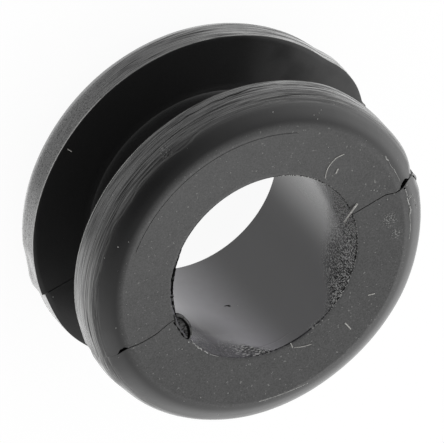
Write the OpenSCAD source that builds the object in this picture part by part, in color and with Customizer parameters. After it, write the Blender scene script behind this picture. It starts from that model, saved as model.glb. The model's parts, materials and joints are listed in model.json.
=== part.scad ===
/* [Bore] */
// Diameter of the bore that the cable passes through
bore_d = 7.9; // [6.5:0.1:8.6]
// Break of the bore's back edge, along and across
bore_break = 0.2; // [0.05:0.05:0.4]

/* [Neck and groove] */
// Diameter of the neck that sits in the panel's hole
neck_d = 9.7; // [9.2:0.1:11.5]
// Width of the groove that takes the panel's edge
groove_w = 3.35; // [1.5:0.05:6]

/* [Flanges] */
// Outside diameter of the flanges
flange_d = 14.3; // [13.9:0.1:18]
// How much further the back flange spreads, on the diameter
back_spread = 0.2; // [0:0.05:0.4]
// Thickness of each flange, from the groove to the end face
flange_t = 1.85; // [1.65:0.05:2.1]
// Width of the outer edge's elliptic rounding, measured across the flange
edge_w = 1.45; // [1.3:0.05:1.6]
// How far inside the rim the flat end face ends
face_inset = 1.15; // [1:0.05:1.25]
// Straight land of the rim beside the groove
rim_land = 0.77; // [0.5:0.01:0.9]

/* [Mould marks] */
// Sideways mismatch of the two mould halves
mould_shift = 0.1; // [0.02:0.01:0.2]
// Width of the seam line along the parting plane
seam_w = 0.07; // [0.04:0.01:0.2]
// Depth of the seam line
seam_depth = 0.06; // [0.03:0.01:0.15]
// Width of the nick in the front flange, where the seam reaches the rim
nick_w = 0.3; // [0.1:0.05:0.8]
// Depth of the nick, inwards from the rim
nick_depth = 0.8; // [0.2:0.05:1]

/* [Hidden] */
$fn = 144;
rubber = "#303032";

// The part stands on its back end face, and the bore runs along Z
total_h = groove_w + 2 * flange_t;
mid_z = total_h / 2;
bore_r = bore_d / 2;
neck_r = neck_d / 2;
front_r = flange_d / 2;
back_r = front_r + back_spread / 2;
// Height of the rounding's full ellipse, so that the end face cuts it where it ends
edge_h = (flange_t - rim_land) / cos(asin((edge_w - face_inset) / edge_w));
// Straight pieces that a quarter of the ellipse is drawn with
edge_steps = 18;
// Room that a cutting shape runs past what it cuts
over = 1;
// Far enough out to clear both flanges
reach = back_r + mould_shift + over;

// Quarter of an ellipse round the point [x, z], from its side to its top
function quarter(x, z, w, h) = [
    for (i = [0:edge_steps]) let (turn = 90 * i / edge_steps)
        [x + w * cos(turn), z + h * sin(turn)]
];

// Half section of one flange standing on the groove's wall at height 0.
// The rounding starts at the rim's land and is cut off flat by the end face.
// inset draws the same section smaller all round, as the floor of the seam.
module flange_section(r, inset = 0) {
    edge = quarter(r - edge_w, rim_land, edge_w - inset, edge_h - inset);
    intersection() {
        polygon(concat([[0, 0], [r - inset, 0]], edge, [[0, rim_land + edge_h - inset]]));
        translate([0, inset]) square([r, flange_t - 2 * inset]);
    }
}

// Half section of the whole outside, before the bore is taken out
module outside_section(inset = 0) {
    translate([0, mid_z + groove_w / 2]) flange_section(front_r, inset);
    translate([0, mid_z - groove_w / 2]) mirror([0, 1]) flange_section(back_r, inset);
    translate([0, flange_t - over / 2]) square([neck_r - inset, groove_w + over]);
}

// Solid outside as the two mould cavities would leave it with no mismatch
module outside(inset = 0) {
    rotate_extrude() outside_section(inset);
}

// One half of the outside, on the side of the parting plane that side names
module mould_half(side) {
    translate([-side * mould_shift / 2, 0, 0])
        intersection() {
            outside();
            translate([-reach, side > 0 ? 0 : -reach, -over])
                cube([2 * reach, reach, total_h + 2 * over]);
        }
}

// Thin skin of the outside along the parting plane
module seam_line() {
    difference() {
        translate([-reach, -seam_w / 2, -over])
            cube([2 * reach, seam_w, total_h + 2 * over]);
        outside(seam_depth);
    }
}

// Wedge that is missing from the front flange where the halves meet
module rim_nick() {
    nick_z = mid_z + groove_w / 2 + rim_land;
    end_x = nick_depth + over;
    end_y = nick_w / 2 * end_x / nick_depth;
    translate([front_r - nick_depth, 0, nick_z])
        linear_extrude(flange_t)
            polygon([[0, 0], [end_x, -end_y], [end_x, end_y]]);
}

// Round core pin of the mould, which leaves the bore
module core_pin() {
    translate([0, 0, -over]) cylinder(r = bore_r, h = total_h + 2 * over);
    translate([0, 0, -over])
        cylinder(r1 = bore_r + bore_break + over, r2 = bore_r, h = bore_break + over);
}

module grommet() {
    color(rubber)
        difference() {
            union() {
                mould_half(1);
                mould_half(-1);
            }
            core_pin();
            seam_line();
            rim_nick();
        }
}

grommet();
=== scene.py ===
import json
import math
import random

import bmesh
import bpy
from bpy.props import FloatProperty, FloatVectorProperty, IntProperty, PointerProperty
from mathutils import Matrix, Vector

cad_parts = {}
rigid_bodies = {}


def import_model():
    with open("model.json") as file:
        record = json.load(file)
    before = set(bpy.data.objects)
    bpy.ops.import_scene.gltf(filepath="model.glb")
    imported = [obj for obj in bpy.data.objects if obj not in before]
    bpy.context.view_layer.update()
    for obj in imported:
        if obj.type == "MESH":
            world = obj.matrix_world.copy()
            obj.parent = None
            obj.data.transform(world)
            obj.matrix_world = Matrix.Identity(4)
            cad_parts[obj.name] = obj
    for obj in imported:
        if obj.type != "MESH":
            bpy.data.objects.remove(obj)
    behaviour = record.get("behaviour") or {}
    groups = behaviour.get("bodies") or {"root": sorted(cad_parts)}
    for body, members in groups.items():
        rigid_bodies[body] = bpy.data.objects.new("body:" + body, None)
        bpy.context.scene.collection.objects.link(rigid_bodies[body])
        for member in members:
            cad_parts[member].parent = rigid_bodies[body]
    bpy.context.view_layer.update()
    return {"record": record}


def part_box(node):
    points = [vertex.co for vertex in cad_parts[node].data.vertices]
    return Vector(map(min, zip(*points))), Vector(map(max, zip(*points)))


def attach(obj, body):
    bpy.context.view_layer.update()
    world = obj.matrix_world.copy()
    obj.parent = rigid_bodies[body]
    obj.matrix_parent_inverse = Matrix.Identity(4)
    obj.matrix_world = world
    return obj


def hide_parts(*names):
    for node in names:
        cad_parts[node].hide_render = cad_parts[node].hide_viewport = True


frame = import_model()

bl_info = {
    "name": "Rubber Grommet",
    "version": (1, 0, 0),
    "blender": (4, 5, 0),
    "location": "3D View > Sidebar > Grommet",
    "description": "Builds a moulded rubber grommet with its mould marks, lint and dust",
    "category": "Add Mesh",
}

MM = 0.001
LOW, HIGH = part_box("grommet")
MOUNTS = {mount["name"]: mount["dims"] for mount in frame["record"]["mounts"]}
# Sizes that the frame gives (millimetres)
BORE_R = MOUNTS["bore"]["r_mm"]
NECK_R = MOUNTS["panel_groove"]["r_mm"]
GROOVE_W = MOUNTS["panel_groove"]["length_mm"]
MIDDLE_Z = (LOW.z + HIGH.z) / 2 / MM
VIEW_W, VIEW_H = 444, 443
SENSOR_W = 36
VIEW_AIM = Vector((-0.030, 0.0, 3.465)) * MM
# Tolerance for picking and merging vertices
TINY = 0.002 * MM
SMOOTH_ANGLE = math.radians(28)

# Steps that the body's section is drawn with
ROUNDING_STEPS = 30
LAND_STEPS = 14
FACE_STEPS = 14
BORE_STEPS = 36
WALL_STEPS = 12
NECK_STEPS = 10
# How far in from the corner a small rounding's middle lies, against its radius
CORNER = 0.3
# The finer steps next to the seam: their whole turn (degrees), their number and that of the others
SEAM_TURN, SEAM_TURN_STEPS, MAIN_TURN_STEPS = 6, 14, 168

# Where the seam is torn open: places along X with their heights, and the opening's width (millimetres)
NOTCHES = (
    (((6.31, 6.975), (6.36, 6.96), (6.42, 6.94)), 0.14),
    (((6.50, 6.90), (6.60, 6.85)), 0.12),
    (((6.70, 6.77), (6.80, 6.68), (6.90, 6.57)), 0.06),
    (((-6.42, 6.92), (-6.30, 6.96)), 0.12),
)
# Where the soft flanges bulge: degrees round, radius, height, outward move, reach (millimetres),
# and the mould half that moves (1, -1 or 0 for both)
BULGES = (
    (-135, 7.15, 6.0, 0.09, 5.0, 0),
    (-100, 7.15, 6.0, 0.03, 2.5, 0),
    (90, 7.25, 1.0, 0.055, 4.5, 0),
    (-170, 7.15, 6.0, 0.10, 1.3, 0),
    (-163, 7.25, 1.0, 0.08, 1.5, 0),
    (171, 7.25, 1.0, -0.06, 0.8, 0),
    (11, 7.25, 1.2, 0.20, 1.6, 0),
    (24, 7.1, 6.0, -0.06, 2.0, 0),
    (0, 7.15, 6.0, -0.12, 0.6, 1),
    (0, 7.05, 6.4, -0.08, 0.5, 1),
    (-3, 7.1, 6.3, -0.07, 0.8, -1),
    (-18, 7.15, 6.2, -0.06, 3.0, -1),
)
# Where the seam strays: place along X and depth below the front face, sideways move, reach (millimetres)
SEAM_STRAYS = (
    (-5.3, 0.0, -0.15, 0.9),
    (-6.9, 0.6, -0.26, 0.9),
    (-7.1, 1.7, -0.30, 1.1),
    (6.04, 0.0, -0.17, 0.48),
    (6.95, 0.6, -0.15, 0.8),
    (7.1, 1.4, -0.90, 0.8),
)
# Stretch of the ring line that is open (degrees round)
RING_LINE = (57, 139)
# The turned crest on the outer rounding: where it is and how far it reaches (radians round the ellipse)
CREST_TURN, CREST_REACH = 0.99, 0.2
# The burr on the bore's front edge (degrees round), and the steps along it
BURR_FROM, BURR_TO = 134, 181
BURR_STEPS = 40
# Outline of the nib in the bore, on the front face (millimetres)
NIB_OUTLINE = (
    (-4.00, 0.24), (-3.70, -0.06), (-3.55, -0.50), (-3.58, -0.92),
    (-3.74, -1.19), (-3.90, -1.13), (-4.01, -0.72), (-4.09, -0.25),
)
# Height of the nib's torn foot (millimetres)
NIB_FOOT = 0.07
# Rings of the nib from its foot to its crater: rise and width (millimetres), how much wider the ring is
# on the side of +X (0 the same, 1 all of it there), and its finish (0 torn, dull black as painted shade, 1
# dusty)
NIB_RINGS = (
    (0.12, 0.0, 0, 1),
    (0.02, 0.048, 0.8, 1),
    (0.0, 0.018, 0.3, 0),
    (-0.06, 0.038, 0.9, 0),
)
# Rough spots on the surface: place and reach (millimetres)
PITTED = (
    (5.25, -1.18, 7.05, 0.45),
    (5.27, -1.94, 7.05, 0.35),
    (-1.75, 6.80, 6.35, 0.35),
)

# Zones of the finish: where each starts and where it is full (millimetres), first from the bore's axis,
BORE_ZONE = (BORE_R + 0.07, BORE_R + 0.03)
NECK_ZONE = (NECK_R + 0.35, NECK_R + 0.15)
FACE_EDGE_ZONE = (6.02, 6.36)
ROUNDING_ZONE = (6.0, 6.6)
RIPPLE_ZONE = ((6.55, 6.8), (7.05, 6.9))
RIM_ZONE = (6.8, 7.1)
LAND_ZONE = (7.0, 7.15)
# then from the middle of the height,
FLANGE_ZONE = (GROOVE_W / 2 + 0.005, GROOVE_W / 2 + 0.025)
EDGE_HIGHLIGHT_ZONE = (GROOVE_W / 2 + 0.07, GROOVE_W / 2 + 0.045)
LIP_ZONE = (GROOVE_W / 2 + 0.125, GROOVE_W / 2 + 0.075)
# and then from the back end face
BACK_ZONE = (3.5, 2.5)
# Where the painted shade along the bore's front edge starts and is full
EDGE_SHADE_ZONE = (6.99, 7.02)
# Heights of the crease on the front rim's land, of the crest on the rounding and of the stipple's start
CREASE_Z, CREST_Z, STIPPLE_Z = 5.62, 6.54, 6.85
# Scale of the left wall's stipple along X, Y and Z
LEFT_STIPPLE = (7, 7, 12)
COAT_IOR = 1.8
BUMP_DEPTH = 0.01 * MM

# Lines of flash, by pixel of the view, each with its width against the usual one
FLASH_LINES = (
    (((385.5, 156), (386.5, 159), (388.4, 160.5)), 0.9),
    (((388.4, 160.5), (391, 166), (394, 169.5)), 0.25),
    (((394, 169.5), (397, 175), (399.7, 180.4), (401.4, 184.5)), 0.35),
    (((405.2, 188.5), (405.6, 190.4), (406.4, 192.2), (407, 195.6)), 0.8),
    (((407, 197.6), (408, 201.5), (409.4, 205.4)), 0.8),
    (((409.6, 206.4), (410.4, 209.5), (410, 213), (409.2, 215)), 1.3),
    (((409.6, 215), (410.2, 222), (410, 231), (409, 239)), 0.5),
    (((408.4, 200.5), (409.8, 197.5), (411.8, 194.4)), 0.7),
    (((408.4, 197.2), (410.2, 195)), 0.5),
    (((413.4, 198), (414.6, 201.2)), 0.5),
    (((415.6, 205), (416.6, 208.6)), 0.7),
    (((406.2, 185.6), (407.4, 184.8)), 0.9),
    (((188.2, 342.6), (189.2, 341.6)), 0.9),
    (((190.8, 339.4), (192.2, 340.8), (192.8, 342.8), (194.6, 343.6), (195.6, 345.8)), 0.7),
    (((195.6, 345.8), (197.4, 346.2), (198.4, 348.2), (200.4, 348.2), (201.8, 350)), 0.85),
    (((203.8, 350.8), (205.8, 351.8), (207.8, 353.4)), 0.6),
    (((210, 354.2), (214, 355.4), (219, 356.6)), 0.25),
    (((259, 401.5), (275, 396.5), (292, 390), (308, 383)), 0.4),
)
# Dark crumbs, by pixel of the view, each with its width against the usual one; at the nib's foot and the
# seam's notch their black is painted shade
DARK_CRUMBS_AND_SHADE = (
    (((224.6, 306.2), (227.5, 305.6), (230.2, 306.2)), 1.1),
    (((404.2, 188.6), (405.6, 188.2)), 1.1),
    (((411.6, 175.2), (413.8, 176.6)), 1.2),
    (((414.4, 177.6), (415.8, 179.8)), 1.0),
    (((174, 322.5), (175.6, 325.4)), 1.0),
    (((177.4, 327.4), (179.6, 330.4)), 1.1),
    (((181.4, 333), (184, 337)), 1.3),
)
# Lint fibres, by pixel of the view, each with its width against the usual one
FIBRES = (
    (((357.3, 203.3), (351, 212), (344.5, 221.8)), 1.9),
    (((344, 154), (336, 158), (330, 164.5), (326.5, 171), (325, 178)), 1.0),
    (((338, 168.5), (335.5, 173.5)), 1.4),
    (((345, 323), (348, 326), (350.5, 329)), 1.2),
    (((368, 295), (374.5, 293.5)), 1.0),
    (((290.6, 343), (292.4, 347.5)), 0.9),
    (((294, 347.5), (302, 346.5), (311.5, 344)), 0.6),
    (((67.5, 149), (71.5, 151.5)), 0.7),
)
# How far from the middle the small specks of dust fly in (millimetres)
DUST_START = 40
# Large specks of dust, by pixel of the view
SPECKS = (
    (366, 140.7), (346, 183), (365.6, 184), (385, 189), (374, 190), (387, 199), (407.2, 184.8),
    (135.5, 343.4), (145.7, 345.3), (167, 354.6), (171, 361), (176.5, 374), (182, 349), (118.6, 357),
    (116, 328), (228, 393), (184, 401), (200.6, 397.5), (337, 352), (273, 112), (345, 323), (334, 104),
    (319, 113), (395, 232), (53, 297), (113, 195), (104.7, 220), (118, 247), (104.5, 258), (128.5, 242),
    (158, 219), (387.6, 199.6), (379, 204.4), (384, 188), (371, 190.5), (377, 191), (394, 193.8),
    (314, 115), (317.5, 119), (321, 110), (337.5, 291.5), (336, 295.5), (328.5, 309), (322.5, 320.5),
    (320, 324.5), (388, 160), (389, 176),
)


# ---- sizes and colours

def length(name, description, default):
    """A distance that a user can change."""
    return FloatProperty(name=name, description=description, default=default, unit="LENGTH", precision=6)


def angle(name, description, degrees):
    """An angle that a user can change."""
    return FloatProperty(name=name, description=description, default=math.radians(degrees), subtype="ANGLE")


def strength(name, description, default):
    """A light's strength that a user can change."""
    return FloatProperty(name=name, description=description, default=default, min=0)


def colour(name, description, default):
    """A colour that a user can change."""
    return FloatVectorProperty(name=name, description=description, default=default, subtype="COLOR",
                               size=3, min=0, max=1)


class GrommetSizes(bpy.types.PropertyGroup):
    """Sizes of the moulded body."""

    height: length("Height", "Distance between the end faces", HIGH.z - LOW.z)
    bore_r: length("Bore radius", "Radius of the hole for the cable", BORE_R * MM)
    neck_r: length("Neck radius", "Radius at the groove's floor", NECK_R * MM)
    groove_w: length("Groove width", "Width of the panel groove", GROOVE_W * MM)
    back_r: length("Back flange radius", "Radius of the back flange", HIGH.y)
    front_r: length("Front flange radius", "Radius of the front flange", HIGH.y - 0.1 * MM)
    edge_w: length("Edge rounding width", "Width of the outer rounding, across", 1.45 * MM)
    face_inset: length("Face inset", "How far inside the rim the flat end face ends", 1.15 * MM)
    rim_land: length("Rim land", "Straight width of the rim beside the groove", 0.77 * MM)
    turning: length("Turning marks", "Height of the turned ridges round the rim", 0.004 * MM)
    crest: length("Rounding's crest", "How far the turned crest stands over the rounding", 0.016 * MM)
    root_r: length("Root rounding", "Radius at the groove's root", 0.2 * MM)
    lip_r: length("Lip rounding", "Radius of the sharp edges", 0.03 * MM)
    bore_break: length("Bore break", "Break of the bore's back edge", 0.2 * MM)
    mould_shift: length("Mould mismatch", "Sideways step between the halves", 2 * (HIGH.x - HIGH.y))
    seam_w: length("Seam width", "Width of the seam line at the rim", 0.06 * MM)
    seam_depth: length("Seam depth", "Depth of the seam line", 0.06 * MM)
    ring_w: length("Ring line width", "Width of the ring line", 0.03 * MM)
    ring_inset: length("Ring line inset", "From the flat face's edge to the ring line", 0.14 * MM)
    ring_depth: length("Ring line depth", "Depth of the ring line", 0.03 * MM)


class GrommetMarks(bpy.types.PropertyGroup):
    """Sizes of the torn notches, the flash, the lint and the dust."""

    notch_depth: length("Notch depth", "Depth of the seam's largest notch", 0.3 * MM)
    nib_rise: length("Nib rise", "How far the nib stands over the end face", 0.02 * MM)
    flash_w: length("Flash width", "Width of the flash along the ring line", 0.075 * MM)
    burr_w: length("Burr width", "Width of the burr along the bore's edge", 0.19 * MM)
    fibre_w: length("Fibre width", "Thickness of a lint fibre", 0.038 * MM)
    crumb_w: length("Crumb width", "Thickness of a dark crumb", 0.06 * MM)
    speck_w: length("Speck width", "Width of a large dust speck", 0.06 * MM)
    dust_count: IntProperty(name="Dust count", description="Small specks of dust", default=90, min=0)
    seed: IntProperty(name="Seed", description="Start of the random order", default=7)


class GrommetFinish(bpy.types.PropertyGroup):
    """Colours of the rubber and of what lies on it."""

    rubber: colour("Rubber", "Black moulded rubber", (0.010, 0.010, 0.0104))
    # Dust film colour: laid on the end faces lighter towards +Y as painted light, and used as painted light
    # in the bore and the groove.
    film_and_painted_light: colour("Film", "Dull film on the end faces", (0.125, 0.125, 0.1245))
    # Bloom tint on the bore's wall, laid strongest on its -X side as a painted highlight.
    bloom: colour("Bloom", "Wax bloom on the bore's wall", (0.33, 0.31, 0.385))
    # Also laid as painted highlights along the groove's edge, at the rims' ends and on the back rim's +X
    # side.
    scuffed_and_highlight: colour("Scuffed rubber", "Scuffed ridges round the rims", (0.36, 0.36, 0.35))
    # Also laid as painted shade in the seam's notches and strip, on the burr, on the nib's foot and rings and
    # on the dark crumbs.
    torn: colour("Torn rubber", "Dull black where the mould tore the rubber", (0.003, 0.003, 0.003))
    # Also laid as a painted highlight along the groove's sharp edge.
    flash: colour("Flash", "Stretched, whitened flash", (0.80, 0.80, 0.78))
    lint: colour("Lint", "Pale textile fibres", (0.88, 0.87, 0.83))
    dust: colour("Dust", "Pale specks", (0.88, 0.88, 0.86))


class GrommetStage(bpy.types.PropertyGroup):
    """Camera, world and floor."""

    view_azimuth: angle("View azimuth", "Direction from the part to the camera", 105.8)
    view_elevation: angle("View elevation", "Height of the camera above the floor", 48.844)
    view_roll: angle("View roll", "Turn of the camera about its line of sight", 137.4)
    view_distance: length("View distance", "Distance from the camera to the part", 0.715)
    lens: FloatProperty(name="Lens", description="Focal length", default=1512.54, unit="CAMERA")
    shade_azimuth: angle("Shade azimuth", "Direction of the dark opening in the light tent", 130)
    shade_elevation: angle("Shade elevation", "Height of the dark opening", 64)
    shade_start: angle("Shade start", "Half width of the opening's darkest part", 3)
    shade_end: angle("Shade end", "Half width of the whole opening", 120)
    shade_light: strength("Shade light", "Light from the opening's middle", 0.06)
    tent_light: strength("Tent light", "Light from the rest of the tent", 1.35)
    floor_size: length("Floor size", "Side of the square floor", 6.0)


# ---- shader nodes

class Socket:
    """A shader value that can be used in sums."""

    def __init__(self, shader, out):
        self.shader = shader
        self.out = out

    def math(self, operation, *others):
        """Feeds this value, and others after it, into a Math node."""
        values = {index + 1: other for index, other in enumerate(others)}
        return self.shader.node("Math", {"operation": operation}, {0: self, **values})

    def __add__(self, other):
        return self.math("ADD", other)

    def __sub__(self, other):
        return self.math("SUBTRACT", other)

    def __rsub__(self, other):
        return self.shader.node("Math", {"operation": "SUBTRACT"}, {0: other, 1: self})

    def __mul__(self, other):
        return self.math("MULTIPLY", other)

    def __truediv__(self, other):
        return self.math("DIVIDE", other)

    __radd__ = __add__
    __rmul__ = __mul__


class Shader:
    """The node tree of a material or world, built by expressions."""

    def __init__(self, owner):
        self.tree = owner.node_tree
        self.tree.nodes.clear()

    def node(self, kind, settings=None, inputs=None, output=0):
        """Adds a node, sets it, links or fills its sockets and returns one output."""
        node = self.tree.nodes.new("ShaderNode" + kind)
        for name, value in (settings or {}).items():
            setattr(node, name, value)
        for name, value in (inputs or {}).items():
            if isinstance(value, Socket):
                self.tree.links.new(value.out, node.inputs[name])
            else:
                node.inputs[name].default_value = value
        return None if output is None else Socket(self, node.outputs[output])


def new_material(name):
    """A new node material."""
    material = bpy.data.materials.new(name)
    material.use_nodes = True
    return material


class Pattern:
    """Places on the part in millimetres, for a material's patterns."""

    def __init__(self, shader):
        self.shader = shader
        metres = shader.node("TexCoord", None, None, "Object")
        self.place = shader.node("VectorMath", {"operation": "SCALE"}, {0: metres, "Scale": 1 / MM})
        self.x, self.y, self.z = (shader.node("SeparateXYZ", None, {0: self.place}, axis) for axis in "XYZ")
        self.r = (self.x * self.x + self.y * self.y).math("SQRT")
        # Cosine and sine of the direction round the bore
        self.across = self.x / self.r
        self.along = self.y / self.r

    def step(self, value, low, high, start=0.0, end=1.0):
        """Eases from start to end as the value goes from low to high."""
        limits = {"Value": value, "From Min": low, "From Max": high, "To Min": start, "To Max": end}
        return self.shader.node("MapRange", {"interpolation_type": "SMOOTHSTEP"}, limits)

    def noise(self, scale, detail=2.0, roughness=0.5, vector=None):
        """Cloudy noise in the part's millimetres."""
        inputs = {"Vector": vector or self.place, "Scale": scale, "Detail": detail, "Roughness": roughness}
        return self.shader.node("TexNoise", None, inputs)

    def streaks(self, spacing, run, detail):
        """Noise drawn out round the axis, for turned marks on the rims: spacing across, run along."""
        turn = {"X": self.across * run, "Y": self.along * run, "Z": 0.0}
        around = self.shader.node("CombineXYZ", None, turn)
        radius = (self.r - (self.z - MIDDLE_Z).math("ABSOLUTE")) / spacing
        inputs = {"Vector": around, "W": radius, "Scale": 1.0, "Detail": detail, "Roughness": 0.65}
        return self.shader.node("TexNoise", {"noise_dimensions": "4D"}, inputs)

    def near(self, spots):
        """1 at some places, easing to 0 over their reach."""
        total = 0.0
        for x, y, z, reach in spots:
            ends = {0: self.place, 1: (x, y, z)}
            apart = self.shader.node("VectorMath", {"operation": "DISTANCE"}, ends, "Value")
            total = self.step(apart, reach, reach * 0.3) + total
        return total

    def mix(self, factor, first, second):
        """Blends two colours by a factor."""
        return self.shader.node("Mix", {"data_type": "RGBA"}, {0: factor, 6: first, 7: second}, 2)


def opaque(rgb):
    """A colour with its alpha."""
    return (*rgb, 1.0)


class RubberPattern(Pattern):
    """The moulded rubber's zones, streaks, creases and spots, each as a mask from 0 to 1."""

    def __init__(self, shader):
        super().__init__(shader)
        self.cloud = self.noise(0.55, 3.0)
        self.patch = self.noise(1.1, 2.0)
        self.grain = self.noise(15.0, 2.0, 0.75)
        self.find_zones()
        self.find_stipple()
        self.find_streaks()
        self.find_creases()

    def clouded(self, low, high):
        """A value that drifts between two limits in soft clouds."""
        return self.step(self.cloud, 0.3, 0.6, low, high)

    def side(self, low, high):
        """Eases from 0 to 1 on one side, as the direction's cosine goes from low to high."""
        return self.step(self.across, low, high)

    def line(self, away, start, full):
        """A thin line where a distance is 0."""
        return self.step(away.math("ABSOLUTE"), start, full)

    def find_zones(self):
        """The parts of the section, the painted highlight along the groove's edge, and the ends where the
        rims' streaks and painted highlights are strongest.
        """
        off_middle = (self.z - MIDDLE_Z).math("ABSOLUTE")
        self.flange = self.step(off_middle, *FLANGE_ZONE)
        self.bore = self.step(self.r, *BORE_ZONE)
        self.rounding = self.step(self.r, *ROUNDING_ZONE) * self.flange
        self.rim = self.step(self.r, *RIM_ZONE) * self.flange
        self.land = self.step(self.r, *LAND_ZONE) * self.flange
        self.lip = self.step(off_middle, *LIP_ZONE) * self.land
        on_left = self.side(-0.2, -0.45)
        # A painted highlight along the groove's sharp edge on the -X side.
        self.edge_highlight = self.step(off_middle, *EDGE_HIGHLIGHT_ZONE) * self.land * on_left
        self.back = self.step(self.z, *BACK_ZONE) * self.rim
        edge = self.step(self.r, *FACE_EDGE_ZONE) * self.flange
        self.face = self.flange * (1 - edge) * (1 - self.bore)
        self.groove = (1 - self.flange) * (1 - self.bore)
        self.right_end = self.side(0.1, 0.5)
        self.ends = self.right_end + self.side(-0.75, -0.92) * 1.5

    def find_stipple(self):
        """The rough band at the bore's front edge with its light and dark spots, and the pitted places."""
        left = self.side(-0.15, -0.55) * self.side(-0.98, -0.78)
        right = self.side(0.35, 0.80)
        scaled = {0: self.place, 1: LEFT_STIPPLE}
        flat = self.shader.node("VectorMath", {"operation": "MULTIPLY"}, scaled)
        speckle = self.noise(17.0, 1.0) * (1 - left * self.bore)
        self.speckle = speckle + self.noise(1.0, 1.0, 0.5, flat) * left * self.bore
        depth = self.z + right * 2.6 + left * 1.3 + (self.patch - 0.5) * 1.2 - STIPPLE_Z
        self.rough = self.bore * self.step(depth / (0.55 + right * 1.3), 0.0, 1.0)
        self.pitted = self.near(PITTED)
        self.light_spots = self.step(self.speckle + self.rough * 0.06, 0.58, 0.64)
        self.dark_spots = self.step(self.speckle - self.rough * 0.08, 0.40, 0.34)

    def find_streaks(self):
        """Pale scuffs and dull dark streaks round the rims, with painted highlights along the groove's edge,
        at the rims' ends and on the back rim's +X side; speckles on the left of the back rim.
        """
        self.coarse = self.streaks(0.11, 1.0, 2.0)
        self.fine = self.streaks(0.07, 2.2, 1.0)
        scratch = self.streaks(0.042, 5.0, 1.0)
        speckled = self.back * self.side(-0.05, -0.4)
        lines = self.step(self.fine, 0.55, 0.61) * 0.5 + self.step(scratch, 0.54, 0.60) * 0.6
        lines = lines * (1 - speckled * 0.8) + self.step(self.speckle, 0.58, 0.66) * speckled * 0.8
        # The streak lines are real scuffs; their extra strength at the ends, the band along the groove's
        # edge, the -X land and the back rim's +X side are painted highlights.
        scuffs_and_painted_highlights = lines * self.rim * (0.50 + self.ends * 0.45) * self.clouded(0.5, 1.0) + self.lip * 0.4
        scuffs_and_painted_highlights = scuffs_and_painted_highlights + self.step(self.coarse, 0.50, 0.56) * self.right_end * self.rim * 0.35
        scuffs_and_painted_highlights = scuffs_and_painted_highlights + self.land * self.side(-0.7, -0.95) * 0.4
        self.scuffs_and_painted_highlights = scuffs_and_painted_highlights + self.back * self.side(0.6, 0.9) * 0.12
        hairs = self.line(self.coarse - 0.5, 0.022, 0.008) * 0.5
        hairs = hairs + self.step(self.coarse, 0.46, 0.40) * self.right_end * 0.5
        dull = hairs * 0.8 + self.step(self.fine, 0.45, 0.39) * 0.5 + self.step(scratch, 0.46, 0.40) * 0.4
        self.dull = dull * (1 - speckled * 0.8) + self.step(self.speckle, 0.42, 0.34) * speckled * 0.5

    def find_creases(self):
        """The wavering crease on the front rim's land, and the crest's dark and pale lines."""
        crease = self.z - CREASE_Z - (self.cloud - 0.5) * 0.8
        self.crease = self.line(crease, 0.04, 0.02) * self.land * self.side(-0.2, 0.0)
        crest = self.z - CREST_Z - (self.cloud - 0.5) * 0.5
        on_left = self.side(0.1, -0.1)
        self.dark_crest = self.line(crest, 0.03, 0.012) * on_left * self.flange
        self.pale_crest = self.line(crest - 0.05, 0.03, 0.012) * on_left * self.flange

    def colour(self, finish):
        """Base colour, laid on layer by layer."""
        dusting = (self.grain - 0.5) * (1.3 - self.step(self.y, 1.0, 5.0) * 0.3)
        # The dust film on the end faces, made lighter towards +Y as painted light.
        film_and_painted_light = 0.46 + self.step(self.y, -3.0, 6.0) * 0.34 + dusting + (self.patch - 0.5) * 0.25
        # Dust haze in the groove, made lighter towards its +X end as painted light.
        haze_and_painted_light = self.side(0.5, 0.95) * self.clouded(0.35, 0.8)
        haze_and_painted_light = 0.12 + haze_and_painted_light + (self.grain - 0.5) * 0.2
        # Bloom on the bore's wall: a thin tint everywhere, and a painted highlight on the -X side.
        bloom_and_painted_highlight = self.side(0.05, -0.60) * self.clouded(0.7, 0.9) + 0.07
        motes = self.step(self.noise(9.0, 1.0), 0.725, 0.75) * self.face
        layers = (
            (self.face * film_and_painted_light + self.groove * haze_and_painted_light, finish.film_and_painted_light),
            (self.bore * (1 - self.rough * 0.9) * bloom_and_painted_highlight, finish.bloom),
            # A painted highlight on the bore's +X side, laid in the film colour.
            (self.bore * self.side(0.66, 0.96) * 0.8, finish.film_and_painted_light),
            (self.scuffs_and_painted_highlights, finish.scuffed_and_highlight),
            ((self.rough * 0.8 + self.pitted * 0.4) * self.light_spots, finish.flash),
            (motes * 0.6, finish.scuffed_and_highlight),
            # The painted highlight along the groove's edge, in the flash colour.
            (self.edge_highlight * 0.9, finish.flash),
            (self.pale_crest * 0.15, finish.scuffed_and_highlight),
        )
        colour = opaque(finish.rubber)
        for share, rgb in layers:
            colour = self.mix(share, colour, opaque(rgb))
        return colour

    def gloss(self):
        """Coat weight: low on the faces, high on the roundings, the waxed bore and part of the neck."""
        gloss = self.face * (0.29 + (self.grain - 0.5) * 0.5)
        gloss = gloss + self.rounding * (0.62 + self.land * (self.ends * 0.5 - 0.25) + self.back * 0.3)
        waxed = 0.32 + self.side(0.08, -0.5) * 0.62 - self.side(0.3, 0.7) * 0.12
        waxed = waxed + self.side(0.70, 0.95) * 0.66
        gloss = gloss + self.bore * waxed * (1 - self.rough * 0.6)
        return gloss + self.groove * self.step(self.r, *NECK_ZONE) * self.side(0.0, 0.5)

    def relief(self):
        """Height for the bump: grain, turned streaks, waves, ripples and stipple."""
        ripple = self.noise(6.0, 2.0)
        for zone in RIPPLE_ZONE:
            ripple = ripple * self.step(self.r, *zone)
        height = self.grain * 0.2 * (1 - self.rim) + (self.coarse * 0.4 + self.fine * 0.35) * self.rim
        height = height + self.noise(1.7, 1.0) * 0.8 * self.rounding
        height = height + self.speckle * (self.rough * 4.0 + self.pitted * 1.5)
        return height + ripple * self.flange * 0.8

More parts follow.
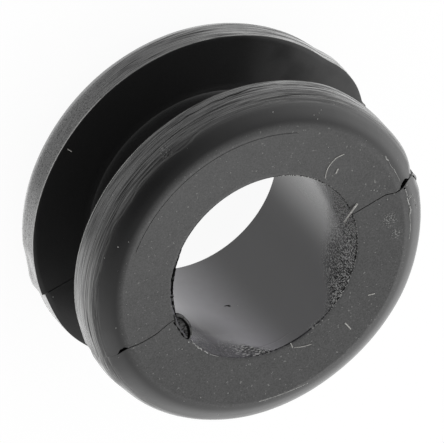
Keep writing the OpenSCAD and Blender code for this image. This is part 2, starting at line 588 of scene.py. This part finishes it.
    def pits_and_painted_shade(self):
        """Share of dull black: dark streaks, creases, pitted spots, and painted shade along the bore's front
        edge.
        """
        pits_and_painted_shade = (self.dull * 0.9 + self.crease * 0.7) * self.rim * (1 - self.edge_highlight)
        pits_and_painted_shade = pits_and_painted_shade + self.dark_crest * 0.2 + (self.rough * 0.75 + self.pitted * 0.5) * self.dark_spots
        # A dull black line along the bore's front edge: painted shade.
        painted_edge_shade = 0.6 - self.side(-0.1, 0.2) * self.side(0.9, 0.75) * 0.5
        return pits_and_painted_shade + self.step(self.z, *EDGE_SHADE_ZONE) * self.bore * painted_edge_shade


def rubber_material(name, finish, roughness, coat_roughness):
    """Black moulded rubber: a dusty face lightened towards +Y as painted light, a bloomed bore with a
    stippled band, painted highlights on its sides and a painted shade line at its front edge, and rims with
    turned streaks and painted highlights.
    """
    shader = Shader(new_material(name))
    pattern = RubberPattern(shader)
    relief = {"Strength": 1.0, "Distance": BUMP_DEPTH, "Height": pattern.relief()}
    glossy = shader.node("BsdfPrincipled", None, {
        "Base Color": pattern.colour(finish),
        "Roughness": roughness - pattern.rim * 0.05 + pattern.rough * 0.12 + (pattern.patch - 0.5) * 0.10,
        "IOR": 1.5,
        "Coat Weight": pattern.gloss(),
        "Coat IOR": COAT_IOR,
        "Coat Roughness": coat_roughness,
        "Normal": shader.node("Bump", None, relief),
    })
    # Dull black for pitted spots and dark streaks, laid also as painted shade along the bore's front edge.
    dull_black = shader.node("BsdfPrincipled", None, {
        "Base Color": opaque(finish.torn),
        "Roughness": 0.8,
        "Specular IOR Level": 0.1,
    })
    surface = shader.node("MixShader", None, {0: pattern.pits_and_painted_shade(), 1: glossy, 2: dull_black})
    shader.node("OutputMaterial", None, {"Surface": surface}, None)


def plain_material(name, rgb, roughness, specular, mottle, scale=11.0):
    """A dull finish whose colour is mottled, for torn rubber and painted shade, flash, lint and dust."""
    shader = Shader(new_material(name))
    pattern = Pattern(shader)
    clouds = pattern.step(pattern.noise(scale, 2.0), 0.35, 0.65)
    darker = [channel * (1 - mottle) for channel in rgb]
    surface = shader.node("BsdfPrincipled", None, {
        "Base Color": pattern.mix(clouds, opaque(darker), opaque(rgb)),
        "Roughness": roughness,
        "Specular IOR Level": specular,
    })
    shader.node("OutputMaterial", None, {"Surface": surface}, None)


def make_materials(finish):
    """Makes every finish once."""
    rubber_material("black_rubber", finish, 0.30, 0.20)
    rubber_material("bore_rubber", finish, 0.24, 0.22)
    plain_material("torn_rubber_and_shade", finish.torn, 0.9, 0.1, 0.5)
    plain_material("dusty_rubber", finish.film_and_painted_light, 0.5, 0.4, 0.95, 6.0)
    plain_material("whitened_flash", finish.flash, 0.5, 0.5, 0.45)
    plain_material("lint_fibre", finish.lint, 0.7, 0.3, 0.3)
    plain_material("pale_dust", finish.dust, 0.9, 0.2, 0.5)


# ---- modelling helpers

def deselect():
    """Leaves nothing selected."""
    for each in bpy.context.selected_objects:
        each.select_set(False)


def close():
    """Leaves edit mode."""
    bpy.ops.object.mode_set(mode="OBJECT")


def pick(piece, test):
    """Selects the vertices whose place passes the test, and the edges between them."""
    mesh = bmesh.from_edit_mesh(piece.data)
    for vertex in mesh.verts:
        vertex.select_set(not vertex.hide and test(vertex.co))
    mesh.select_flush_mode()
    bmesh.update_edit_mesh(piece.data)


def close_to(places, reach):
    """A test for being nearer than the reach to any of some places."""
    return lambda co: any((co - place).length < reach for place in places)


def nudge(piece, places, move, reach, part=None):
    """Pushes the surface at some places, easing out over the reach. Only what passes the test moves."""
    if part:
        pick(piece, lambda co: not part(co))
        bpy.ops.mesh.hide(unselected=False)
    pick(piece, close_to(places, reach * 0.3))
    bpy.ops.transform.translate(value=move, use_proportional_edit=True, proportional_edit_falloff="SMOOTH",
                                proportional_size=reach)
    if part:
        bpy.ops.mesh.reveal(select=False)


def start_vertex(name, place):
    """A new piece with a single vertex, open for editing."""
    deselect()
    bpy.ops.mesh.primitive_plane_add(size=MM)
    piece = bpy.context.object
    piece.name = name
    piece.data.name = name
    bpy.ops.object.mode_set(mode="EDIT")
    bpy.ops.mesh.select_all(action="SELECT")
    bpy.ops.mesh.merge(type="CENTER")
    bpy.ops.transform.translate(value=place)
    return piece


def draw(points):
    """Extrudes the selected vertex from point to point."""
    for before, after in zip(points, points[1:]):
        bpy.ops.mesh.extrude_region_move(TRANSFORM_OT_translate={"value": after - before})


def dress(piece, *materials):
    """Gives a piece its materials."""
    piece.data.materials.clear()
    for name in materials:
        piece.data.materials.append(bpy.data.materials[name])


def finish_piece(piece):
    """Gives a finished piece its body."""
    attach(piece, "root")


def polar(radius, turn, height=0.0):
    """Place at a radius, an angle in radians round the bore and a height."""
    return Vector((radius * math.cos(turn), radius * math.sin(turn), height))


def smooth_path(points, steps):
    """Points of a smooth curve through the given ones, with some steps between each two."""
    ends = [points[0] * 2 - points[1], *points, points[-1] * 2 - points[-2]]
    path = []
    for a, b, c, d in zip(ends, ends[1:], ends[2:], ends[3:]):
        for i in range(steps):
            t = i / steps
            path.append(b + (c - a) * (t / 2) + (a * 2 - b * 5 + c * 4 - d) * (t * t / 2)
                        + (b * 3 - a - c * 3 + d) * (t * t * t / 2))
    return path + [points[-1]]


def thread(name, path, widths, sides=2):
    """A round thread along a path, with a width at each of its points."""
    piece = start_vertex(name, path[0])
    draw(path)
    close()
    bpy.ops.object.convert(target="CURVE")
    curve = bpy.context.object.data
    curve.bevel_depth = 0.5
    curve.bevel_resolution = sides
    curve.use_fill_caps = True
    for spline in curve.splines:
        for point, width in zip(spline.points, widths):
            point.radius = width
    bpy.ops.object.convert(target="MESH")
    return bpy.context.object


def join(name, pieces):
    """Joins pieces into one."""
    deselect()
    for piece in pieces:
        piece.select_set(True)
    bpy.context.view_layer.objects.active = pieces[0]
    bpy.ops.object.join()
    pieces[0].name = name
    pieces[0].data.name = name
    return pieces[0]


# ---- places seen from the camera

def view_turn(stage):
    """The camera's turn, and the direction from the part to the camera."""
    back = polar(math.cos(stage.view_elevation), stage.view_azimuth, math.sin(stage.view_elevation))
    roll = Matrix.Rotation(stage.view_roll, 3, "Z").to_quaternion()
    return back.to_track_quat("Z", "Y") @ roll, back


def sight(stage, pixel):
    """Camera's place and its line of sight through a pixel of the view."""
    turn, back = view_turn(stage)
    focal = stage.lens / SENSOR_W * VIEW_W
    x, y = pixel
    direction = turn @ Vector(((x - VIEW_W / 2) / focal, (VIEW_H / 2 - y) / focal, -1))
    return VIEW_AIM + back * stage.view_distance, direction.normalized()


def on_body(stage, pixel, lift=0.0):
    """Place on the body's surface that a pixel of the view shows, lifted off it."""
    origin, direction = sight(stage, pixel)
    found, place, normal, _ = bpy.data.objects["grommet_body"].ray_cast(origin, direction)
    if not found:
        raise RuntimeError(f"no surface at {pixel}")
    return place + normal * lift


def lay_threads(stage, name, lines, finish, steps, lift, width):
    """Lays threads along lines of the view and joins them; width makes a point's width of a line's scale."""
    pieces = []
    for index, (pixels, scale) in enumerate(lines):
        path = smooth_path([on_body(stage, pixel, lift) for pixel in pixels], steps)
        pieces.append(thread(f"{name}_{index}", path, [width(scale) for _ in path], 1))
    piece = join(name, pieces)
    dress(piece, finish)
    finish_piece(piece)


# ---- section of the body

def run(start, end, steps):
    """Points along a straight line, both ends included."""
    return [(start[0] + (end[0] - start[0]) * i / steps, start[1] + (end[1] - start[1]) * i / steps)
            for i in range(steps + 1)]


def flange_outline(size, rim_r, flange_t, rng):
    """One flange's rounding and land, as radius and height over the groove's wall."""
    first = math.asin((size.edge_w - size.face_inset) / size.edge_w)
    edge_h = (flange_t - size.rim_land) / math.cos(first)
    points = []
    for i in range(ROUNDING_STEPS):
        turn = first + (math.pi / 2 - first) * i / ROUNDING_STEPS
        ridge = size.turning * rng.uniform(-1, 1) if i > ROUNDING_STEPS * 0.55 else 0
        ridge += size.crest * max(0, 1 - abs(turn - CREST_TURN) / CREST_REACH)
        points.append((rim_r - size.edge_w + (size.edge_w + ridge) * math.sin(turn),
                       size.rim_land + (edge_h + ridge) * math.cos(turn)))
    land = run((rim_r, size.rim_land), (rim_r, size.lip_r), LAND_STEPS)
    points += [(r + size.turning * rng.uniform(-1, 1), z) for r, z in land]
    return points + [(rim_r - size.lip_r * CORNER, size.lip_r * CORNER), (rim_r - size.lip_r, 0)]


def end_outline(size, edge_r, rim_r, flange_t):
    """One end face from the bore's edge past the ring line to the rounding, in the same way."""
    face_r = rim_r - size.face_inset
    line_r = face_r - size.ring_inset
    half = size.ring_w / 2
    return (run((edge_r, flange_t), (line_r - half, flange_t), FACE_STEPS)
            + [(line_r, flange_t - size.ring_depth)]
            + run((line_r + half, flange_t), (face_r - half, flange_t), 2))


def body_section(size, rng):
    """Closed outline of the body's section, as radius and height, up the bore and round the outside."""
    middle = size.height / 2
    flange_t = (size.height - size.groove_w) / 2
    lip, root, bore = size.lip_r, size.root_r, size.bore_r
    front, back = middle + size.groove_w / 2, middle - size.groove_w / 2
    wall = run((bore, size.bore_break), (bore, size.height - lip * 1.6), BORE_STEPS)
    wall += [(bore, size.height - lip)]
    front_side = [(bore + lip * CORNER, flange_t - lip * CORNER)]
    front_side += end_outline(size, bore + lip, size.front_r, flange_t)
    front_side += flange_outline(size, size.front_r, flange_t, rng)
    back_side = [(bore + size.bore_break / 2, flange_t - size.bore_break / 2)]
    back_side += end_outline(size, bore + size.bore_break, size.back_r, flange_t)
    back_side += flange_outline(size, size.back_r, flange_t, rng)
    groove = run((size.front_r - lip, front), (size.neck_r + root, front), WALL_STEPS)[1:]
    groove += [(size.neck_r + root * CORNER, front - root * CORNER)]
    groove += run((size.neck_r, front - root), (size.neck_r, back + root), NECK_STEPS)
    groove += [(size.neck_r + root * CORNER, back + root * CORNER)]
    groove += run((size.neck_r + root, back), (size.back_r - lip, back), WALL_STEPS)[:-1]
    outline = wall + [(r, front + z) for r, z in front_side] + groove
    return outline + [(r, back - z) for r, z in reversed(back_side)]


class GROMMET_OT_body(bpy.types.Operator):
    """Models the moulded body as two mould halves that meet at a seam"""

    bl_idname = "grommet.body"
    bl_label = "Moulded Body"

    def execute(self, context):
        size = context.scene.grommet_sizes
        marks = context.scene.grommet_marks
        rng = random.Random(marks.seed)
        shift = Vector((size.mould_shift / 2, 0, 0))
        gap = math.asin(size.seam_w / 2 / size.front_r)
        points = [polar(r, gap, z) - shift for r, z in body_section(size, rng)]
        body = start_vertex("grommet_body", points[0])
        draw(points)
        pick(body, close_to((points[0], points[-1]), TINY))
        bpy.ops.mesh.edge_face_add()
        bpy.ops.mesh.select_all(action="SELECT")
        self.half_turn(-shift, gap)
        self.seam(shift, gap)
        self.half_turn(shift, gap)
        self.seam(-shift, gap)
        bpy.ops.mesh.select_all(action="SELECT")
        bpy.ops.mesh.remove_doubles(threshold=TINY / 4)
        bpy.ops.mesh.normals_make_consistent(inside=False)
        self.round_bore(body, size, shift)
        self.level_ring_line(body, size)
        self.sink_seam(body, size)
        dress(body, "black_rubber", "bore_rubber", "torn_rubber_and_shade")
        pick(body, lambda co: co.xy.length < size.bore_r + size.lip_r / 2 and co.z > size.bore_break / 2)
        body.active_material_index = 1
        bpy.ops.object.material_slot_assign()
        self.tear_notches(body, size, marks)
        self.wander(body, size)
        close()
        bpy.ops.object.shade_smooth_by_angle(angle=SMOOTH_ANGLE)
        finish_piece(body)
        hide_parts("grommet")
        context.view_layer.update()
        return {"FINISHED"}

    def half_turn(self, centre, gap):
        """Spins the selected section half round, in fine steps next to the seam."""
        fine = math.radians(SEAM_TURN)
        by_seam = (fine - gap, SEAM_TURN_STEPS)
        for turn, steps in (by_seam, (math.pi - 2 * fine, MAIN_TURN_STEPS), by_seam):
            bpy.ops.mesh.spin(steps=steps, angle=-turn, center=centre, axis=(0, 0, 1))

    def seam(self, shift, gap):
        """Carries the selected section over the seam, from one mould half's centre to the other's."""
        for centre in (-shift, Vector()):
            bpy.ops.mesh.spin(steps=1, angle=-gap, center=centre, axis=(0, 0, 1))
            bpy.ops.transform.translate(value=shift)

    def round_bore(self, body, size, shift):
        """Brings the bore's wall back to the one core pin, which has no mismatch."""
        reach = size.bore_r + size.bore_break * 1.01
        for side in (1, -1):
            centre = -shift * side
            pick(body, lambda co: co.y * side > TINY and (co - centre).xy.length < reach)
            bpy.ops.transform.translate(value=shift * side)

    def level_ring_line(self, body, size):
        """Fills the ring line where the mould's end plate fitted tightly."""
        for height, lift in ((size.height, size.ring_depth), (0, -size.ring_depth)):
            bottom = height - lift
            pick(body, lambda co: abs(co.z - bottom) < TINY and co.xy.length > size.neck_r
                 and not RING_LINE[0] < math.degrees(math.atan2(co.y, co.x)) < RING_LINE[1])
            bpy.ops.transform.translate(value=(0, 0, lift))

    def sink_seam(self, body, size):
        """Sinks the seam's middle line everywhere outside the bore, and keeps it on the parting plane."""
        pick(body, lambda co: abs(co.y) < TINY and co.xy.length > size.bore_r + size.lip_r * 1.5)
        bpy.ops.transform.shrink_fatten(value=-size.seam_depth)
        bpy.ops.transform.resize(value=(1, 0, 1), center_override=(0, 0, 0))

    def tear_notches(self, body, size, marks):
        """Tears the seam open in a row of notches at the nick, and in a small spot across from it."""
        # The seam's strip and the notches get the dull black finish as painted shade in their recesses.
        body.active_material_index = 2
        seam_half = size.seam_w * 0.6
        seam_top = size.height - size.seam_depth * 1.2
        pick(body, lambda co: abs(co.y) < seam_half and co.x > 0 and co.z > seam_top)
        bpy.ops.object.material_slot_assign()
        for corners, width in NOTCHES:
            places = [Vector((x, 0, z)) * MM for x, z in corners]
            width *= MM
            depth = marks.notch_depth * width / (NOTCHES[0][1] * MM)
            inwards = (-math.copysign(depth, places[0].x) * 0.6, 0, -depth * 0.8)
            at_notch = close_to(places, width)
            pick(body, lambda co: abs(co.y) < seam_half and at_notch(co))
            bpy.ops.object.material_slot_assign()
            nudge(body, places, (0, width, 0), width * 1.6, lambda co: co.y > TINY * 3)
            nudge(body, places, inwards, width * 2, lambda co: abs(co.y) < TINY)

    def wander(self, body, size):
        """Lets the soft flanges bulge and the seam stray sideways, as in the moulded part."""
        for turn, radius, z, move, reach, half in BULGES:
            turn = math.radians(turn)
            test = (lambda co: co.y * half > -TINY) if half else None
            nudge(body, [polar(radius * MM, turn, z * MM)], polar(move * MM, turn), reach * MM, test)
        for x, z, stray, reach in SEAM_STRAYS:
            nudge(body, [Vector((x * MM, 0, size.height - z * MM))], (0, stray * MM, 0), reach * MM)


# ---- flash

class GROMMET_OT_flash(bpy.types.Operator):
    """Models the flash: the ring line's torn edge, dark crumbs that are partly painted shade, and the burr
    and nib in the bore
    """

    bl_idname = "grommet.flash"
    bl_label = "Flash"

    def execute(self, context):
        size = context.scene.grommet_sizes
        marks = context.scene.grommet_marks
        stage = context.scene.grommet_stage
        rng = random.Random(marks.seed)
        lay_threads(stage, "ring_flash", FLASH_LINES, "whitened_flash", 4, 0.0,
                    lambda scale: marks.flash_w * scale * rng.uniform(0.45, 1.1))
        lay_threads(stage, "dark_crumbs_and_shade", DARK_CRUMBS_AND_SHADE, "torn_rubber_and_shade", 4, 0.0,
                    lambda scale: marks.crumb_w * scale * rng.uniform(0.45, 1.1))
        self.bore_burr(size, marks, rng)
        self.bore_nib(size, marks)
        return {"FINISHED"}

    def bore_burr(self, size, marks, rng):
        """A burr that tapers along the bore's edge, with a dusty core along its top."""
        span = BURR_TO - BURR_FROM
        turns = [math.radians(BURR_FROM + span * i / BURR_STEPS) for i in range(BURR_STEPS + 1)]
        path = [polar(size.bore_r, turn, size.height - marks.burr_w * 0.35) for turn in turns]
        tapers = [math.sin(math.pi * (i + 1) / (BURR_STEPS + 2)) ** 0.4 for i in range(BURR_STEPS + 1)]
        widths = [marks.burr_w * taper * rng.uniform(0.8, 1.1) for taper in tapers]
        burr = thread("burr", path, widths)
        # The burr's dull black is painted shade along the bore's edge.
        dress(burr, "torn_rubber_and_shade")
        lifted = [place + Vector((0, 0, width * 0.30)) for place, width in zip(path, widths)]
        core = thread("burr_core", lifted, [width * 0.45 * rng.uniform(0.5, 1.0) for width in widths])
        dress(core, "dusty_rubber")
        finish_piece(join("bore_burr", [burr, core]))

    def bore_nib(self, size, marks):
        """A torn lump that bridges the bore's edge: a pointed oval with ridges round a ragged crater."""
        base = size.height + marks.nib_rise - (NIB_FOOT + NIB_RINGS[0][0]) * MM
        corners = [Vector((x * MM, y * MM, base)) for x, y in NIB_OUTLINE]
        outline = smooth_path([*corners, corners[0]], 5)
        nib = start_vertex("bore_nib", outline[0])
        draw(outline)
        bpy.ops.mesh.select_all(action="SELECT")
        bpy.ops.mesh.remove_doubles(threshold=TINY)
        bpy.ops.mesh.edge_face_add()
        # The nib's foot and black rings are dull black as painted shade on its walls and in its crater.
        dress(nib, "torn_rubber_and_shade", "dusty_rubber")
        bpy.ops.mesh.extrude_region_move(TRANSFORM_OT_translate={"value": (0, 0, NIB_FOOT * MM)})
        for rise, width, lean, slot in NIB_RINGS:
            self.raise_ring(nib, rise * MM, width * MM, lean, slot)
        nib.active_material_index = 1
        bpy.ops.object.material_slot_assign()
        bpy.ops.mesh.quads_convert_to_tris(ngon_method="BEAUTY")
        bpy.ops.mesh.subdivide(number_cuts=3)
        bpy.ops.transform.vertex_random(offset=marks.nib_rise * 1.5, seed=marks.seed)
        bpy.ops.mesh.select_all(action="SELECT")
        bpy.ops.mesh.normals_make_consistent(inside=False)
        close()
        bpy.ops.object.shade_smooth_by_angle(angle=SMOOTH_ANGLE)
        finish_piece(nib)

    def raise_ring(self, nib, rise, width, lean, slot):
        """Extrudes the selected face, narrows it and gives it and the new ring a finish."""
        bpy.ops.mesh.extrude_region_move(TRANSFORM_OT_translate={"value": (0, 0, rise)})
        corners = [vertex.co for vertex in bmesh.from_edit_mesh(nib.data).verts if vertex.select]
        low, high = (Vector(map(limit, zip(*corners))) for limit in (min, max))
        scale = [1 - 2 * width / side for side in (high - low).xy]
        centre = (low + high) / 2 - Vector((lean * (high - low).x / 2, 0, 0))
        bpy.ops.transform.resize(value=(*scale, 1), center_override=centre)
        nib.active_material_index = slot
        bpy.ops.mesh.select_more()
        bpy.ops.object.material_slot_assign()
        bpy.ops.mesh.select_less()


# ---- lint and dust

class GROMMET_OT_lint(bpy.types.Operator):
    """Lays stray textile fibres on the surface"""

    bl_idname = "grommet.lint"
    bl_label = "Lint Fibres"

    def execute(self, context):
        width = context.scene.grommet_marks.fibre_w
        lay_threads(context.scene.grommet_stage, "lint", FIBRES, "lint_fibre", 6, width * 0.4,
                    lambda scale: width * scale)
        return {"FINISHED"}


class GROMMET_OT_dust(bpy.types.Operator):
    """Scatters specks of dust over the surface"""

    bl_idname = "grommet.dust"
    bl_label = "Dust"

    def execute(self, context):
        marks = context.scene.grommet_marks
        stage = context.scene.grommet_stage
        rng = random.Random(marks.seed)
        body = bpy.data.objects["grommet_body"]
        places = [on_body(stage, pixel) for pixel in SPECKS]
        widths = [marks.speck_w * rng.uniform(0.8, 1.2) for _ in places]
        middle = Vector((0, 0, MIDDLE_Z * MM))
        while len(places) < len(SPECKS) + marks.dust_count:
            way = polar(1, rng.uniform(0, math.tau), rng.uniform(-0.8, 1.2)).normalized()
            start = middle + way * DUST_START * MM
            target = middle + polar(rng.uniform(4, 7) * MM, rng.uniform(0, math.tau), rng.uniform(-2, 3) * MM)
            found, place, _, _ = body.ray_cast(start, (target - start).normalized())
            if found:
                places.append(place)
                widths.append(marks.speck_w * rng.uniform(0.3, 0.6))
        dust = start_vertex("dust", middle)
        bpy.ops.mesh.delete(type="VERT")
        for place, width in zip(places, widths):
            turn = [rng.uniform(0, math.tau) for _ in range(3)]
            bpy.ops.mesh.primitive_ico_sphere_add(subdivisions=1, radius=width / 2, location=place,
                                                  rotation=turn, scale=(1.0, 0.75, 0.5))
        close()
        dress(dust, "pale_dust")
        finish_piece(dust)
        return {"FINISHED"}


# ---- stage

class GROMMET_OT_stage(bpy.types.Operator):
    """Sets up the floor, the light tent and the camera"""

    bl_idname = "grommet.stage"
    bl_label = "Stage"

    def execute(self, context):
        stage = context.scene.grommet_stage
        self.floor(stage)
        self.light_tent(context.scene, stage)
        self.camera(context.scene, stage)
        context.scene.view_settings.view_transform = "Standard"
        return {"FINISHED"}

    def floor(self, stage):
        """A floor that looks nearly white, and gives the part little light from below."""
        deselect()
        bpy.ops.mesh.primitive_plane_add(size=stage.floor_size)
        floor = bpy.context.object
        floor.name = "floor"
        material = new_material("pale_floor")
        shader = Shader(material)
        seen = shader.node("LightPath", None, None, "Is Camera Ray")
        for ray in ("Is Glossy Ray", "Is Transmission Ray"):
            seen = seen + shader.node("LightPath", None, None, ray)
        surface = shader.node("BsdfPrincipled", None, {
            "Base Color": (0.12, 0.12, 0.12, 1),
            "Roughness": 1.0,
            "Specular IOR Level": 0.0,
            "Emission Color": (1, 1, 1, 1),
            "Emission Strength": seen.math("MINIMUM", 1.0) * 0.94,
        })
        shader.node("OutputMaterial", None, {"Surface": surface}, None)
        floor.data.materials.append(material)

    def light_tent(self, scene, stage):
        """A white tent all round that is dark towards one opening, and plain white to the camera."""
        world = bpy.data.worlds.new("light_tent")
        scene.world = world
        world.use_nodes = True
        shader = Shader(world)
        camera = shader.node("LightPath", None, None, "Is Camera Ray")
        direction = shader.node("TexCoord", None, None, "Generated")
        opening = polar(math.cos(stage.shade_elevation), stage.shade_azimuth, math.sin(stage.shade_elevation))
        near = shader.node("VectorMath", {"operation": "DOT_PRODUCT"}, {0: direction, 1: opening}, "Value")
        tent = shader.node("MapRange", {"interpolation_type": "SMOOTHSTEP"}, {
            "Value": near.math("ARCCOSINE"),
            "From Min": stage.shade_start,
            "From Max": stage.shade_end,
            "To Min": stage.shade_light,
            "To Max": stage.tent_light,
        })
        light = {"Color": (1, 1, 1, 1), "Strength": camera + (1 - camera) * tent}
        background = shader.node("Background", None, light)
        shader.node("OutputWorld", None, {"Surface": background}, None)

    def camera(self, scene, stage):
        """A long lens that looks down on the part, with the view rolled."""
        turn, back = view_turn(stage)
        bpy.ops.object.camera_add(location=VIEW_AIM + back * stage.view_distance)
        camera = bpy.context.object
        camera.rotation_mode = "QUATERNION"
        camera.rotation_quaternion = turn
        camera.data.lens = stage.lens
        camera.data.sensor_width = SENSOR_W
        camera.data.clip_start = 0.05
        camera.data.clip_end = 20
        scene.camera = camera


class GROMMET_PT_panel(bpy.types.Panel):
    """The grommet's operators and settings in the sidebar"""

    bl_label = "Rubber Grommet"
    bl_idname = "GROMMET_PT_panel"
    bl_space_type = "VIEW_3D"
    bl_region_type = "UI"
    bl_category = "Grommet"

    def draw(self, context):
        for operator in OPERATORS:
            self.layout.operator(operator.bl_idname)
        for name, group in GROUPS.items():
            box = self.layout.box()
            for setting in group.__annotations__:
                box.prop(getattr(context.scene, name), setting)


GROUPS = {
    "grommet_sizes": GrommetSizes,
    "grommet_marks": GrommetMarks,
    "grommet_finish": GrommetFinish,
    "grommet_stage": GrommetStage,
}
OPERATORS = (GROMMET_OT_body, GROMMET_OT_flash, GROMMET_OT_lint, GROMMET_OT_dust, GROMMET_OT_stage)
CLASSES = (*GROUPS.values(), *OPERATORS, GROMMET_PT_panel)


def register():
    """Registers the classes and their settings."""
    for each in CLASSES:
        bpy.utils.register_class(each)
    for name, group in GROUPS.items():
        setattr(bpy.types.Scene, name, PointerProperty(type=group))


def unregister():
    """Takes the classes and their settings away again."""
    for name in GROUPS:
        delattr(bpy.types.Scene, name)
    for each in reversed(CLASSES):
        bpy.utils.unregister_class(each)


def main():
    """Builds the whole scene."""
    register()
    make_materials(bpy.context.scene.grommet_finish)
    bpy.ops.grommet.body()
    bpy.ops.grommet.flash()
    bpy.ops.grommet.lint()
    bpy.ops.grommet.dust()
    bpy.ops.grommet.stage()


if __name__ == "__main__":
    main()
